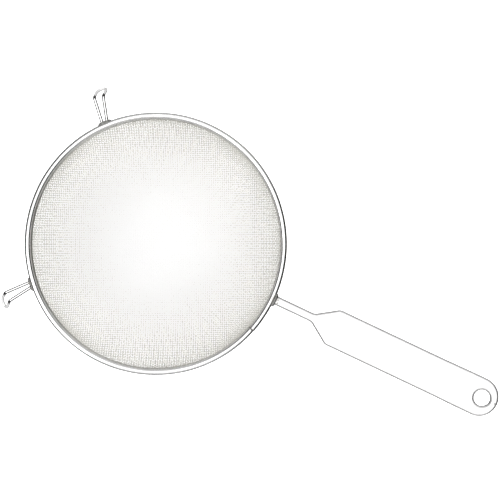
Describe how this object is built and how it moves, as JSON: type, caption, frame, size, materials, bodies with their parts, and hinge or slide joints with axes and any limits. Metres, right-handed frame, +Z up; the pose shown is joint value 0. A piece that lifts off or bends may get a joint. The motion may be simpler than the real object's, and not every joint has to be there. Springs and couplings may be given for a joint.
{
  "type": "double sieve strainer",
  "caption": "Round hand strainer with a doubled wire-mesh bowl, beaded rim, flat stamped handle with a hanging hole and looped rest hooks opposite the handle.",
  "frame": {"origin": "centre of the rim circle, on the plane that the hook legs and the handle neck rest on", "axes": "+X out along the handle, +Y to the right of someone holding it and looking along it into the bowl, +Z up out of the open bowl"},
  "size_m": [0.3915, 0.203, 0.0735],
  "materials": {
    "rim_sheet": "bright rolled stainless strip",
    "handle_sheet": "polished stamped stainless sheet",
    "heavy_wire": "bright drawn stainless wire",
    "fine_wire": "fine drawn stainless wire, woven",
    "support_wire": "coarse drawn stainless wire, woven",
    "weld_metal": "dull weld metal with light heat tint"
  },
  "bodies": {
    "root": {"rim_hoop": "rim_sheet", "bead_wire": "heavy_wire", "hoop_seam_weld": "weld_metal", "fine_mesh": "fine_wire", "support_mesh": "support_wire", "handle": "handle_sheet", "handle_weld": "weld_metal", "right_hook": "heavy_wire", "left_hook": "heavy_wire", "right_hook_weld": "weld_metal", "left_hook_weld": "weld_metal"}
  },
  "joints": []
}
